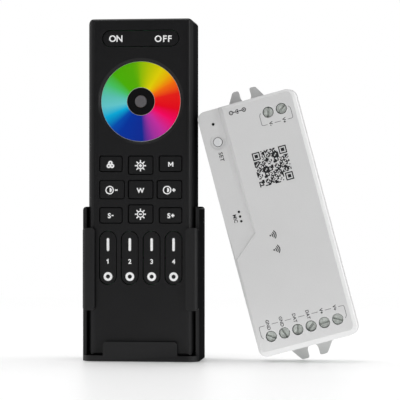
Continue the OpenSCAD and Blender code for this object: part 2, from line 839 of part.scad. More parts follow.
module shell_screws() color([0.75, 0.75, 0.77]) {
    for (place = boss_places) difference() {
        union() {
            remote_pin(place, screw_r, shell_wall + screw_r, bay_floor_d + screw_head_h / 2);
            remote_pin(place, screw_head_r, bay_floor_d, bay_floor_d + screw_head_h);
        }
        for (turn = [0, 90])
            translate([place[0], remote_front_y + bay_floor_d + screw_head_h, place[1]])
                rotate([0, turn, 0]) cube([screw_r * 2, screw_head_h, screw_r / 2], center = true);
    }
}

// Outline of the holder seen from above, open at the front between the flaps
module holder_channel() {
    difference() {
        two_radius_rect(holder_w, holder_front_y, wall_y, flap_bend_r, side_edge_r);
        two_radius_rect(holder_w - 2 * holder_wall, holder_front_y + flap_t, wall_y - holder_back_t,
                        flap_bend_r - flap_t, side_edge_r);
        translate([-mouth_half_w, holder_front_y - over]) square([2 * mouth_half_w, flap_t + 2 * over]);
    }
}

module wall_holder() color([0.14, 0.14, 0.14]) {
    side_front_y = holder_front_y + side_set_back;
    difference() {
        union() {
            // Back and side walls, with rounded upper corners
            intersection() {
                along_z(0, holder_h) holder_channel();
                union() {
                    along_y(side_front_y, wall_y) translate([0, (holder_h - holder_corner_r) / 2])
                        round_rect(holder_w, holder_h + holder_corner_r, holder_corner_r);
                    // Flaps with rounded corners
                    along_y(holder_front_y, side_front_y + over) for (side = [-1, 1])
                        translate([side * (holder_w - flap_span) / 2, (flap_low + flap_high) / 2])
                        round_rect(flap_span, flap_high - flap_low, holder_corner_r);
                }
            }
            // Foot with rounded front corners
            along_z(0, foot_t) two_radius_rect(holder_w, holder_front_y, wall_y, foot_corner_r, side_edge_r);
            // Lip
            along_y(holder_front_y, holder_front_y + flap_t)
                translate([0, lip_top / 2 - holder_corner_r / 2])
                intersection() {
                    round_rect(lip_w, lip_top + holder_corner_r, holder_corner_r);
                    translate([-lip_w / 2, holder_corner_r / 2 - lip_top / 2]) square([lip_w, lip_top]);
                }
        }
        // Windows in the back behind the flaps and behind the lip
        along_y(wall_y - holder_back_t - over, wall_y + over) {
            for (side = [-1, 1])
                translate([side * (holder_w / 2 - holder_wall - window_w / 2), (flap_low + flap_high) / 2])
                square([window_w, flap_high - flap_low + 2 * window_margin], center = true);
            translate([0, foot_t + window_margin + lip_top / 2])
                square([lip_w + 2 * window_margin, lip_top - foot_t], center = true);
        }
        // Countersunk screw holes
        for (z = [wall_hole_low, wall_hole_low + wall_hole_pitch])
            translate([0, wall_y - holder_back_t, z]) rotate([-90, 0, 0]) {
                translate([0, 0, -over]) cylinder(holder_back_t + 2 * over, r = wall_hole_r);
                cylinder(sink_h, r1 = wall_sink_r, r2 = wall_hole_r);
            }
    }
}

// Puts what is drawn round the box's centre, with its face at y = 0, in its place
module place_box() {
    translate([box_x, box_front_y, box_z]) rotate([0, -box_tilt, 0]) children();
}

// A round bar along y in the box, between two depths
module box_pin(place, r, low, high) {
    along_y(low, high) translate(place) circle(r);
}

// All that lies in front of the plane y = 0
module half_space() {
    reach = box_l;
    translate([-reach, -reach, -reach]) cube([2 * reach, reach, 2 * reach]);
}

// What is taken off the cover's left side to leave the lower strip
module strip_cut() {
    fall = atan((strip_deep - strip_shallow) / strip_l);
    slant = atan(strip_drop / (strip_w - bevel_w));
    intersection() {
        translate([0, strip_deep, box_l / 2]) rotate([-fall, 0, 0]) half_space();
        translate([strip_edge_x, 0, 0]) rotate([0, 0, -strip_slope]) half_space();
        translate([strip_edge_x, 0, strip_end_z]) rotate([0, -slant, 0])
            rotate([-strip_slope, 0, 0]) half_space();
    }
}

// Depth of the strip's surface at a height on the box
function strip_d(z) = strip_deep - (box_l / 2 - z) * (strip_deep - strip_shallow) / strip_l;

// The cover's four corners at one depth, grown at the sides and at the output end
module cover_corners(depth, side, end) {
    r = box_corner_r + side;
    for (x = [-1, 1], z = [box_l / 2 + side - r, r - end - box_l / 2])
        translate([x * (box_w / 2 + side - r), depth, z]) rotate([90, 0, 0])
            cylinder(sliver, r = r, $fn = corner_steps);
}

module cover_shape() {
    hull() {
        cover_corners(sliver, -bevel_w, -end_bevel_w);
        cover_corners(bevel_d, 0, 0);
        cover_corners(cover_d - seam_gap / 2, cover_draft, cover_draft);
    }
}

// A rounded slab of the box's outline, inset, between two depths
module box_slab(inset, low, high) {
    along_y(low, high)
        round_rect(box_w - 2 * inset, box_l - 2 * inset, max(box_corner_r - inset, inner_corner_r));
}

// Openings in the ends for the wires and the power socket, seen from inside
module end_openings() {
    window_low_d = bar_d - bar_t;
    for (row = [[output_x, output_z, -1], [input_x, input_z, 1]]) {
        half = (row[0][len(row[0]) - 1] - row[0][0] + pitch) / 2 + block_end + inner_gap;
        mid = (row[0][len(row[0]) - 1] + row[0][0]) / 2;
        z = row[2] * (box_l / 2 + over - window_reach / 2);
        translate([mid - half, window_low_d, z - window_reach / 2])
            cube([2 * half, rboard_front_d - window_low_d, window_reach]);
    }
    translate([-jack_offset, jack_d, box_l / 2 + over - window_reach])
        cylinder(window_reach, r = jack_nose_r + inner_gap);
}

// Holes in the cover's face for the screws, the button, the light and the microphone
module cover_ports() {
    for (x = output_x) box_pin([x, output_z], port_r, -over, cover_wall + over);
    for (x = input_x) box_pin([x, input_z], port_r, -over, cover_wall + over);
    box_pin([strip_x, button_z], button_r + button_gap, -over, strip_ceiling_d + over);
    box_pin([strip_x, button_z], dish_r, -over, strip_d(button_z) + dish_d);
    box_pin([strip_x, light_z], light_r, -over, strip_ceiling_d + over);
    for (i = [-1:1]) box_pin([mic_x, mic_z + i * mic_pitch], mic_hole_r, -over, strip_ceiling_d + over);
}

module receiver_cover() color([0.86, 0.87, 0.86]) place_box() {
    half_w = box_w / 2 - cover_wall;
    half_l = box_l / 2 - cover_wall;
    difference() {
        cover_shape();
        strip_cut();
        // Inside, shallower under the lower strip
        intersection() {
            box_slab(cover_wall, 0, cover_d + over);
            union() {
                span([strip_edge_x, cover_wall, -half_l], [half_w, cover_d + over, half_l]);
                span([-half_w, strip_ceiling_d, -half_l], [half_w, cover_d + over, half_l]);
                span([-half_w, cover_wall, -half_l],
                     [half_w, cover_d + over, strip_end_z - strip_drop - cover_wall]);
            }
        }
        cover_ports();
        end_openings();
    }
}

// One mounting fork: two tapered prongs with a round-ended slot between them
module fork(root_w, tip_w) {
    root = base_l / 2 - base_edge_r;
    tip = base_l / 2 + fork_l;
    difference() {
        polygon([[-root_w / 2, root], [root_w / 2, root], [root_w / 2, base_l / 2],
                 [tip_w / 2, tip], [-tip_w / 2, tip], [-root_w / 2, base_l / 2]]);
        translate([0, base_l / 2 + fork_slot_w / 2]) {
            circle(fork_slot_w / 2);
            translate([-fork_slot_w / 2, 0]) square([fork_slot_w, fork_l + over]);
        }
    }
}

module receiver_base() color([0.84, 0.85, 0.84]) place_box() {
    lip_out = cover_wall + slot_gap;
    lip_in = lip_out + snap_lip_t;
    difference() {
        union() {
            difference() {
                intersection() {
                    along_y(cover_d + seam_gap / 2, box_t) round_rect(base_w, base_l, base_r);
                    along_z(-base_l, base_l) round_rect(base_w, 2 * box_t, base_edge_r);
                    along_x(-base_w, base_w) round_rect(2 * box_t, base_l, base_edge_r);
                }
                box_slab(base_wall, cover_d + snap_lip_h, box_floor_d);
                box_slab(lip_in, cover_d - over, cover_d + snap_lip_h + over);
            }
            // Lip that enters the cover
            difference() {
                box_slab(lip_out, cover_d - snap_lip_h, cover_d + snap_lip_h);
                box_slab(lip_in, cover_d - snap_lip_h - over, cover_d + snap_lip_h + over);
            }
            // Posts under the board
            for (x = [-1, 1], z = [-1, 1])
                box_pin([x * stand_x, z * stand_z], stand_r, rboard_back_d, box_floor_d + base_wall / 2);
            along_y(box_t - fork_t, box_t) fork(fork_root_w, fork_tip_w);
            along_y(box_t - fork_t, box_t) rotate(180) fork(low_fork_root_w, low_fork_tip_w);
        }
        end_openings();
        // Room for the power socket in the lip
        span([-jack_offset - jack_w / 2 - inner_gap, cover_d - snap_lip_h - over, box_l / 2 - jack_l],
             [-jack_offset + jack_w / 2 + inner_gap, rboard_front_d, box_l / 2 - cover_wall]);
    }
}

module receiver_board() color([0.1, 0.3, 0.55]) place_box() {
    box_slab(base_wall + rboard_gap, rboard_front_d, rboard_back_d);
}

module set_button() color([0.9, 0.9, 0.9]) place_box() {
    place = [strip_x, button_z];
    stem_end_d = rboard_front_d - switch_h - plunger_h - plunger_gap - button_travel;
    box_pin(place, button_r, strip_d(button_z) + button_rise, strip_ceiling_d + button_flange_t);
    box_pin(place, button_r + button_flange, strip_ceiling_d, strip_ceiling_d + button_flange_t);
    box_pin(place, button_stem_r, strip_ceiling_d, stem_end_d);
}

module set_switch() color([0.15, 0.15, 0.16]) place_box() {
    low_d = rboard_front_d - switch_h;
    span([strip_x - switch_w / 2, low_d, button_z - switch_w / 2],
         [strip_x + switch_w / 2, rboard_front_d, button_z + switch_w / 2]);
    box_pin([strip_x, button_z], plunger_r, low_d - plunger_h, low_d + plunger_h);
}

// Lamp on the board and the clear rod that brings its light to the cover
module status_light() color([0.7, 0.85, 0.75]) place_box() {
    place = [strip_x, light_z];
    span([strip_x - led_w / 2, rboard_front_d - led_h, light_z - led_w / 2],
         [strip_x + led_w / 2, rboard_front_d, light_z + led_w / 2]);
    box_pin(place, light_r - light_fit, strip_d(light_z) + button_rise, strip_ceiling_d + light_flange_t);
    box_pin(place, light_r + light_flange, strip_ceiling_d, rboard_front_d - led_h);
}

module microphone() color([0.7, 0.7, 0.72]) place_box() {
    box_pin([mic_x, mic_z], mic_r, rboard_front_d - mic_h, rboard_front_d);
    box_pin([mic_x, mic_z], mic_r - mic_rim, rboard_front_d - mic_h - mic_rim, rboard_front_d);
}

module dc_jack() color([0.09, 0.09, 0.1]) place_box() {
    face_z = box_l / 2 - cover_wall - block_front_gap;
    difference() {
        union() {
            span([-jack_offset - jack_w / 2, block_top_d, face_z - jack_l],
                 [-jack_offset + jack_w / 2, rboard_front_d, face_z]);
            translate([-jack_offset, jack_d, face_z - jack_wall])
                cylinder(cover_wall + jack_wall + block_front_gap, r = jack_nose_r);
        }
        translate([-jack_offset, jack_d, box_l / 2 - jack_bore_l])
            cylinder(jack_bore_l + over, r = jack_bore_r);
        translate([-jack_offset, jack_d, face_z - jack_l - over])
            cylinder(jack_l, r = jack_pin_r + thread_gap);
    }
}

module jack_pin() color([0.8, 0.78, 0.7]) place_box() {
    translate([-jack_offset, jack_d, box_l / 2 - cover_wall - block_front_gap - jack_l - pin_w]) {
        cylinder(jack_l - jack_wall, r = jack_pin_r);
        translate([-jack_pin_r, 0, 0]) cube([2 * jack_pin_r, rboard_front_d - jack_d, pin_w]);
    }
}

module radio_module() color([0.6, 0.62, 0.64]) place_box() {
    top_d = rboard_front_d - radio_pad - radio_t;
    span([radio_x - radio_w / 2, top_d, radio_z - radio_l / 2],
         [radio_x + radio_w / 2, rboard_front_d - radio_pad, radio_z + radio_l / 2]);
    span([radio_x - can_w / 2, top_d - can_h, radio_z - can_l / 2],
         [radio_x + can_w / 2, top_d, radio_z + can_l / 2]);
    for (side = [-1, 1]) {
        x = radio_x + side * (radio_w - radio_pad) / 2;
        span([x - radio_pad / 2, top_d, radio_z - can_l / 2],
             [x + radio_pad / 2, rboard_front_d, radio_z + can_l / 2]);
    }
}

module capacitors() color([0.2, 0.2, 0.3]) place_box() {
    for (i = [0, 1])
        box_pin([cap_x, cap_z - i * (2 * cap_r + cap_gap)], cap_r,
                rboard_front_d - cap_h, rboard_front_d);
}

// A terminal block with a clamp chamber, a screw bore and a wire entry at each place
module terminal_block(places, face_set) {
    last = len(places) - 1;
    difference() {
        span([places[0] - pitch / 2 - block_end, block_top_d, -face_set],
             [places[last] + pitch / 2 + block_end, rboard_front_d, block_rear]);
        for (x = places) {
            box_pin([x, 0], head_r + head_clear, block_top_d - over, head_low_d + over);
            span([x - cage_w / 2 - slot_gap, head_low_d, -cage_l / 2 - slot_gap],
                 [x + cage_w / 2 + slot_gap, cage_end_d + slot_gap, cage_l / 2 + slot_gap]);
            span([x - entry_w / 2, bar_d, -face_set - over], [x + entry_w / 2, cage_floor_d, 0]);
            span([x - bar_w / 2 - thread_gap, bar_d - thread_gap, 0],
                 [x + bar_w / 2 + thread_gap, bar_d + bar_t + thread_gap, block_rear + over]);
        }
    }
}

// Contact bars, each with a leg that is soldered to the board behind the block
module terminal_contacts(places) {
    for (x = places) {
        span([x - bar_w / 2, bar_d, -cage_l / 2], [x + bar_w / 2, bar_d + bar_t, block_rear + pin_w]);
        span([x - bar_w / 2, bar_d, block_rear], [x + bar_w / 2, rboard_front_d, block_rear + pin_w]);
    }
}

module terminal_screw(x, turn) {
    difference() {
        union() {
            box_pin([x, 0], head_r, head_top_d, head_low_d);
            box_pin([x, 0], thread_r, head_low_d - screw_slot_w / 2, bar_d - tip_gap);
        }
        translate([x, head_top_d, 0]) rotate([0, turn, 0])
            cube([3 * head_r, 2 * screw_slot_d, screw_slot_w], center = true);
    }
}

module terminal_cage(x) {
    difference() {
        span([x - cage_w / 2, cage_top_d, -cage_l / 2], [x + cage_w / 2, cage_end_d, cage_l / 2]);
        span([x - cage_w / 2 + cage_side, cage_top_d + cage_top, -cage_l],
             [x + cage_w / 2 - cage_side, cage_floor_d, cage_l]);
        box_pin([x, 0], thread_r + thread_gap, cage_top_d - over, cage_floor_d - over);
    }
}

// The wires leave downwards at the output end and upwards at the input end
module at_output() color_steel() place_box() translate([0, 0, output_z]) children();
module at_input() color_steel() place_box() translate([0, 0, input_z]) rotate([0, 180, 0]) children();
module color_steel() color([0.68, 0.7, 0.68]) children();
module color_green() color([0.2, 0.5, 0.3]) children();

module output_block() color_green() place_box() translate([0, 0, output_z])
    terminal_block(output_x, output_set - cover_wall - block_front_gap);
module input_block() color_green() place_box() translate([0, 0, input_z]) rotate([0, 180, 0])
    terminal_block([-input_x[1], -input_x[0]], input_set - cover_wall - block_front_gap);
module output_contacts() at_output() terminal_contacts(output_x);
module input_contacts() at_input() terminal_contacts([-input_x[1], -input_x[0]]);
module output_screw(i) at_output() terminal_screw(output_x[i], slot_turn * (i + 1));
module input_screw(i) at_input() terminal_screw(-input_x[i], slot_turn * (i + 3));
module output_cage(i) at_output() terminal_cage(output_x[i]);
module input_cage(i) at_input() terminal_cage(-input_x[i]);

wall_holder();
front_shell();
back_shell();
battery_door();
colour_ring();
wheel_hub();
indicator_lens();
on_off_key();
push_key(0, 0);  // key_colours
push_key(0, 1);  // key_sun_plus
push_key(0, 2);  // key_mode
push_key(1, 0);  // key_dim_minus
push_key(1, 1);  // key_white
push_key(1, 2);  // key_dim_plus
push_key(2, 0);  // key_speed_minus
push_key(2, 1);  // key_sun_minus
push_key(2, 2);  // key_speed_plus
zone_key(0);  // zone_key_1
zone_key(1);  // zone_key_2
zone_key(2);  // zone_key_3
zone_key(3);  // zone_key_4
remote_board();
touch_sensor();
key_domes();
board_chips();
batteries();
battery_contacts();
shell_screws();
receiver_cover();
receiver_base();
receiver_board();
set_button();
set_switch();
status_light();
microphone();
dc_jack();
jack_pin();
radio_module();
capacitors();
output_block();
input_block();
output_contacts();
input_contacts();
output_screw(0);  // output_screw_1
output_screw(1);  // output_screw_2
output_screw(2);  // output_screw_3
output_screw(3);  // output_screw_4
output_screw(4);  // output_screw_5
output_screw(5);  // output_screw_6
input_screw(0);  // input_screw_1
input_screw(1);  // input_screw_2
output_cage(0);  // output_cage_1
output_cage(1);  // output_cage_2
output_cage(2);  // output_cage_3
output_cage(3);  // output_cage_4
output_cage(4);  // output_cage_5
output_cage(5);  // output_cage_6
input_cage(0);  // input_cage_1
input_cage(1);  // input_cage_2
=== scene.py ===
"""Looks of a light-strip control set: a remote in its wall holder and a controller box."""

import json
import math

import bmesh
import bpy
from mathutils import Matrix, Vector


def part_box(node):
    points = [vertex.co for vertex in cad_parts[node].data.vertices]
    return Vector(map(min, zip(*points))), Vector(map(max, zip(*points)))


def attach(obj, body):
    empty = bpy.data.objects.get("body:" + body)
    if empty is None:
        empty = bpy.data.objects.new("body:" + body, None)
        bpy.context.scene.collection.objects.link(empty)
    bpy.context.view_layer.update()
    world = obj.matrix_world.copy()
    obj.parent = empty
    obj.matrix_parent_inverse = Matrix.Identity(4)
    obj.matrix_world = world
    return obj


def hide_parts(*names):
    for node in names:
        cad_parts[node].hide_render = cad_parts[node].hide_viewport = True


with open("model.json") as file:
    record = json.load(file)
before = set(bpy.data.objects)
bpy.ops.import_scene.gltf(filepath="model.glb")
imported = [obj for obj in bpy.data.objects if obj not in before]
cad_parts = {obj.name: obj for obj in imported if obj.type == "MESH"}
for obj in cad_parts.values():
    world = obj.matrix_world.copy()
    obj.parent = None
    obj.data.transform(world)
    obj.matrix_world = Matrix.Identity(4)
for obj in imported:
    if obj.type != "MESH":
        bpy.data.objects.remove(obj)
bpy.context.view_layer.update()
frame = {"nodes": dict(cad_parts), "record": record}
nodes = frame["nodes"]
record = frame["record"]
body_of = {n: b for b, members in record["behaviour"]["bodies"].items() for n in members}
slot_of = {s["node"]: s["material_slot"] for s in record["subparts"]}
MM = 0.001
MICRON = 0.001 * MM

# Places and sizes that part.scad sets, in millimetres. The remote: its face, its keys'
# faces, and the heights of the long key and the wheel.
FACE_Y = -9.15
KEY_Y = FACE_Y + 0.3
ON_OFF_Z = 120.4
WHEEL_Z = 96.9
HUB_R = 5.15
ZONE_PITCH = 8.24
# The box: the middle of its face, its lean and half its length; the lower strip's depth
# at the top and how that falls along the box; terminals and microphone holes.
BOX_X, BOX_Y, BOX_Z, BOX_TILT = 50.8031, -9.95, 51.5929, math.radians(15)
BOX_TOP = 47.0
STRIP_DEEP, STRIP_FALL = 3.1, 2.4 / 48.6
TERMINAL_PITCH = 5.08
MIC_X, MIC_Z, MIC_PITCH, MIC_HOLE_R = -12.5, 5.8, 1.8, 0.475

# Ink's thickness and its gap to the surface, and the depth in its hole of each black disc that
# paints shade into a microphone hole
PRINT_T, PRINT_GAP = 0.012, 0.002
HOLE_SHADE_DEEP = 0.22


def linear(rgb):
    """Display values from 0 to 255 as linear light."""
    out = []
    for v in rgb:
        v = v / 255
        out.append(v / 12.92 if v <= 0.04045 else ((v + 0.055) / 1.055) ** 2.4)
    return tuple(out)


def add_node(tree, kind, **values):
    """A new node; each value sets the input of that name, or else the node's own setting."""
    made = tree.nodes.new(kind)
    for key, value in values.items():
        if key in made.inputs:
            made.inputs[key].default_value = value
        else:
            setattr(made, key, value)
    return made


def add_math(tree, operation, *sources, clamp=False):
    """The result of a math node over numbers and sockets."""
    made = add_node(tree, "ShaderNodeMath", operation=operation, use_clamp=clamp)
    for i, source in enumerate(sources):
        if isinstance(source, (int, float)):
            made.inputs[i].default_value = source
        else:
            tree.links.new(source, made.inputs[i])
    return made.outputs[0]


def add_ramp(tree, source, low, high, from_low, from_high):
    """A socket's value, mapped from one range to another and held inside that."""
    limits = {"From Min": from_low, "From Max": from_high, "To Min": low, "To Max": high}
    made = add_node(tree, "ShaderNodeMapRange", **limits)
    tree.links.new(source, made.inputs["Value"])
    return made.outputs["Result"]


# A mould-drawn surface is dull once its normal leans this far from the face's
DULL_FROM, DULL_AT = 0.7, 0.92


class Shader:
    """A node-based material: one Principled shader and what feeds it."""

    def __init__(self, name, color, rough, metal=0.0, specular=0.5, coat=0.0, coat_rough=0.1):
        self.name = name
        self.material = bpy.data.materials.new(name)
        self.material.use_nodes = True
        self.tree = self.material.node_tree
        self.main = self.tree.nodes["Principled BSDF"]
        self.color = tuple(color)
        self.rough = rough
        self.set("Base Color", (*self.color, 1))
        self.set("Roughness", rough)
        self.set("Metallic", metal)
        self.set("Specular IOR Level", specular)
        if coat:
            self.set("Coat Weight", coat)
            self.set("Coat Roughness", coat_rough)
        self.place = self.node("ShaderNodeTexCoord")

    def set(self, socket, value):
        self.main.inputs[socket].default_value = value

    def node(self, kind, **values):
        return add_node(self.tree, kind, **values)

    def math(self, operation, *sources):
        return add_math(self.tree, operation, *sources)

    def ramp(self, source, low, high, from_low=0.3, from_high=0.7):
        return add_ramp(self.tree, source, low, high, from_low, from_high)

    def link(self, source, target):
        self.tree.links.new(source, target)

    def noise(self, scale, detail=2.0, stretch=None):
        made = self.node("ShaderNodeTexNoise", Scale=scale, Detail=detail)
        source = self.place.outputs["Object"]
        if stretch:
            mapping = self.node("ShaderNodeMapping", Scale=stretch)
            self.link(source, mapping.inputs["Vector"])
            source = mapping.outputs["Vector"]
        self.link(source, made.inputs["Vector"])
        return made.outputs["Fac"]

    def axis(self, name):
        """One coordinate of the piece's own place, in metres."""
        split = self.node("ShaderNodeSeparateXYZ")
        self.link(self.place.outputs["Object"], split.inputs["Vector"])
        return split.outputs[name]

    def blend(self, factor, low, high):
        """From one colour to another; either may be a socket."""
        mix = self.node("ShaderNodeMix", data_type="RGBA")
        sockets = [s for s in mix.inputs if s.type == "RGBA"]
        for socket, value in zip(sockets, (low, high)):
            if isinstance(value, tuple):
                socket.default_value = (*value, 1)
            else:
                self.link(value, socket)
        self.link(factor, mix.inputs["Factor"])
        return [s for s in mix.outputs if s.type == "RGBA"][0]

    def tints(self, amount):
        """A darker and a paler tone of the colour."""
        return (tuple(max(0.0, c * (1 - amount)) for c in self.color),
                tuple(min(1.0, c * (1 + amount)) for c in self.color))

    def mottle(self, scale, amount):
        """Slow change of colour, as from handling and moulding."""
        dark, pale = self.tints(amount)
        shade = self.ramp(self.noise(scale, 3), 0, 1)
        self.link(self.blend(shade, dark, pale), self.main.inputs["Base Color"])
        return self

    def speckle(self, fine, fine_amount, slow, slow_amount):
        """A moulding texture's fine grains of colour over a slow drift."""
        dark, pale = self.tints(fine_amount)
        shares = self.ramp(self.noise(fine, 2), 0, 1, from_low=0.25, from_high=0.75)
        grains = self.blend(shares, dark, pale)
        shade = self.ramp(self.noise(slow, 2), 1 - slow_amount, 1 + slow_amount)
        drift = self.node("ShaderNodeVectorMath", operation="SCALE")
        self.link(grains, drift.inputs[0])
        self.link(shade, drift.inputs["Scale"])
        self.link(drift.outputs["Vector"], self.main.inputs["Base Color"])
        return self

    def smudge(self, scale, spread):
        """Roughness that changes a little from place to place."""
        self.link(self.ramp(self.noise(scale, 4), self.rough - spread, self.rough + spread),
                  self.main.inputs["Roughness"])
        return self

    def drawn(self, tops=0.0):
        """The face keeps its sheen, and the sides, which are drawn along the mould, are dull.

        With tops above 1, surfaces that look up are dull as well.
        """
        split = self.node("ShaderNodeSeparateXYZ")
        self.link(self.place.outputs["Normal"], split.inputs["Vector"])
        upward = self.math("MULTIPLY", split.outputs["Z"], tops)
        aside = self.math("MAXIMUM", self.math("ABSOLUTE", split.outputs["X"]), upward)
        sheen = self.main.inputs["Specular IOR Level"]
        self.link(self.ramp(aside, sheen.default_value, 0.0, DULL_FROM, DULL_AT), sheen)
        return self

    def grain(self, scale, microns, detail=2.0, stretch=None):
        """Fine bump of a given depth."""
        bump = self.node("ShaderNodeBump", Strength=1.0, Distance=microns * MICRON)
        self.link(self.noise(scale, detail, stretch), bump.inputs["Height"])
        self.link(bump.outputs["Normal"], self.main.inputs["Normal"])
        return self


def remote_plastic():
    """Black moulded plastic with a fine spark-eroded texture."""
    s = Shader("remote_plastic", linear((23, 23, 24)), 0.31, specular=0.2)
    return s.speckle(2600, 0.16, 45, 0.08).smudge(300, 0.03).drawn().grain(3800, 20)


def holder_plastic():
    s = Shader("holder_plastic", linear((25, 25, 26)), 0.33, specular=0.27)
    return s.speckle(2200, 0.12, 55, 0.08).smudge(260, 0.03).drawn(tops=2.0).grain(3300, 20)


def key_plastic():
    s = Shader("key_plastic", linear((20, 20, 21)), 0.33, specular=0.22)
    return s.speckle(3000, 0.14, 150, 0.06).smudge(500, 0.03).grain(5200, 12)


def hub_plastic():
    s = Shader("hub_plastic", linear((12, 12, 13)), 0.5, specular=0.08)
    return s.mottle(400, 0.08).smudge(500, 0.05).grain(6500, 8)


def lens_plastic():
    """Smoked translucent plastic, darker in its depth."""
    s = Shader("lens_plastic", linear((94, 90, 92)), 0.4, specular=0.25)
    s.set("Subsurface Weight", 0.1)
    return s.mottle(700, 0.06).grain(3000, 5)


def circuit_board():
    """Green solder mask over a weave of glass cloth."""
    s = Shader("circuit_board", (0.02, 0.14, 0.055), 0.34, coat=0.4)
    return s.mottle(260, 0.18).smudge(400, 0.06).grain(1900, 10, detail=0)


def sensor_film():
    """Etched copper under an amber film."""
    s = Shader("sensor_film", (0.6, 0.36, 0.16), 0.35, metal=0.8)
    return s.mottle(420, 0.25).smudge(600, 0.08).grain(2500, 6)


def cell_jacket():
    """A sleeve with bare metal ends and a copper band at the tip; the two cells lie opposed."""
    s = Shader("cell_jacket", linear((44, 58, 84)), 0.32, specular=0.45, coat=0.4)
    low, high = (end.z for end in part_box("batteries"))
    bare, band = 1.6 * MM, 11 * MM
    z = s.axis("Z")
    above, below = s.math("SUBTRACT", z, low), s.math("SUBTRACT", high, z)
    at_end = s.math("LESS_THAN", s.math("MINIMUM", above, below), bare)
    tip_low = s.math("GREATER_THAN", s.axis("X"), 0)
    from_tip = s.math("ADD", s.math("MULTIPLY", tip_low, above),
                      s.math("MULTIPLY", s.math("SUBTRACT", 1, tip_low), below))
    dark, pale = s.tints(0.12)
    sleeve = s.blend(s.ramp(s.noise(140, 3), 0, 1), dark, pale)
    banded = s.blend(s.math("LESS_THAN", from_tip, band), sleeve, linear((206, 146, 92)))
    s.link(s.blend(at_end, banded, (0.66, 0.66, 0.68)), s.main.inputs["Base Color"])
    s.link(s.math("MAXIMUM", at_end, 0.25), s.main.inputs["Metallic"])
    return s.smudge(300, 0.06).grain(900, 6, stretch=(1, 1, 0.2))


def plated(name, color, rough, scale, stretch=None):
    """Plated or rolled metal with faint marks."""
    s = Shader(name, color, rough, metal=1.0)
    return s.mottle(scale, 0.08).smudge(scale * 1.4, 0.08).grain(scale * 5, 5, stretch=stretch)


def screw_steel():
    """Zinc-plated steel with a greenish cast, dull and mottled."""
    s = Shader("screw_steel", (0.53, 0.56, 0.53), 0.6, metal=0.3)
    return s.mottle(1100, 0.22).smudge(1500, 0.1).grain(4200, 14, detail=4)


def receiver_plastic():
    """Pale grey moulded plastic, satin, with a barely visible texture."""
    s = Shader("receiver_plastic", linear((208, 208, 208)), 0.5, specular=0.35)
    return s.speckle(2400, 0.018, 60, 0.012).smudge(220, 0.06).grain(3000, 14)


def button_plastic():
    s = Shader("button_plastic", linear((211, 212, 213)), 0.34, specular=0.45)
    return s.mottle(300, 0.02).smudge(500, 0.05).grain(2500, 6)


def light_guide():
    """A clear rod over a lamp that is off: nearly black from outside."""
    s = Shader("light_guide", (0.006, 0.007, 0.0065), 0.3, specular=0.1)
    s.set("Transmission Weight", 0.2)
    return s.smudge(900, 0.05).grain(1500, 3)


def dull_plastic(name, color, rough, scale):
    """Plain moulded plastic of small inner pieces."""
    return Shader(name, color, rough).mottle(scale, 0.12).smudge(scale * 2, 0.05).grain(4600, 12)


# Hours on the dial and the colour there
WHEEL_HOURS = [
    (0.0, (140, 190, 0)), (1.1, (228, 210, 0)), (1.5, (238, 185, 0)), (2.0, (248, 112, 10)),
    (2.6, (236, 30, 22)), (3.4, (234, 0, 26)), (4.0, (248, 0, 96)), (4.8, (200, 46, 162)),
    (5.3, (162, 50, 160)), (5.9, (10, 44, 150)), (7.1, (0, 52, 160)), (7.6, (0, 78, 178)),
    (8.2, (0, 175, 220)), (8.75, (102, 203, 208)), (9.3, (94, 198, 184)), (10.0, (72, 196, 94)),
    (10.5, (76, 178, 0)), (11.5, (86, 175, 0)), (11.75, (102, 178, 0)), (12.0, (140, 190, 0)),
]
# Width in millimetres of the painted highlight: a pale line along both edges of the colour ring
WHEEL_RIM_HIGHLIGHT = 0.13


def wheel_print():
    """The colour circle, by angle round the wheel's axis, with a pale line along both edges that
    is a painted highlight.
    """
    s = Shader("wheel_print", (0.5, 0.5, 0.5), 0.4, specular=0.06, coat=0.03, coat_rough=0.25)
    # Minus x and minus the rise, so that the seam lies at twelve
    across = s.math("MULTIPLY", s.axis("X"), -1)
    down = s.math("SUBTRACT", WHEEL_Z * MM, s.axis("Z"))
    hours = s.ramp(s.math("ARCTAN2", across, down), 0, 1, -math.pi, math.pi)
    colors = s.node("ShaderNodeValToRGB")
    stops = colors.color_ramp.elements
    for stop, (hour, rgb) in zip(stops, (WHEEL_HOURS[0], WHEEL_HOURS[-1])):
        stop.position = hour / 12
        stop.color = (*linear(rgb), 1)
    for hour, rgb in WHEEL_HOURS[1:-1]:
        stops.new(hour / 12).color = (*linear(rgb), 1)
    s.link(hours, colors.inputs["Fac"])
    r = s.math("SQRT", s.math("ADD", s.math("POWER", across, 2), s.math("POWER", down, 2)))
    low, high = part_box("colour_ring")
    to_edge = s.math("SUBTRACT", (high.x - low.x) / 2, r)
    to_hub = s.math("SUBTRACT", r, HUB_R * MM)
    # Pale colour painted along both edges of the ring, as a highlight on its edges
    bare = s.math("LESS_THAN", s.math("MINIMUM", to_edge, to_hub), WHEEL_RIM_HIGHLIGHT * MM)
    print_and_rim_highlight = s.blend(bare, colors.outputs["Color"], linear((172, 176, 168)))
    s.link(print_and_rim_highlight, s.main.inputs["Base Color"])
    return s.smudge(250, 0.05).grain(2500, 4)


def ink(name, rgb):
    """Printing ink, slightly uneven; the near-black one paints shade into the microphone holes.
    """
    s = Shader(name, linear(rgb), 0.5, specular=0.3)
    return s.mottle(1500, 0.06).smudge(900, 0.05).grain(4000, 4).material


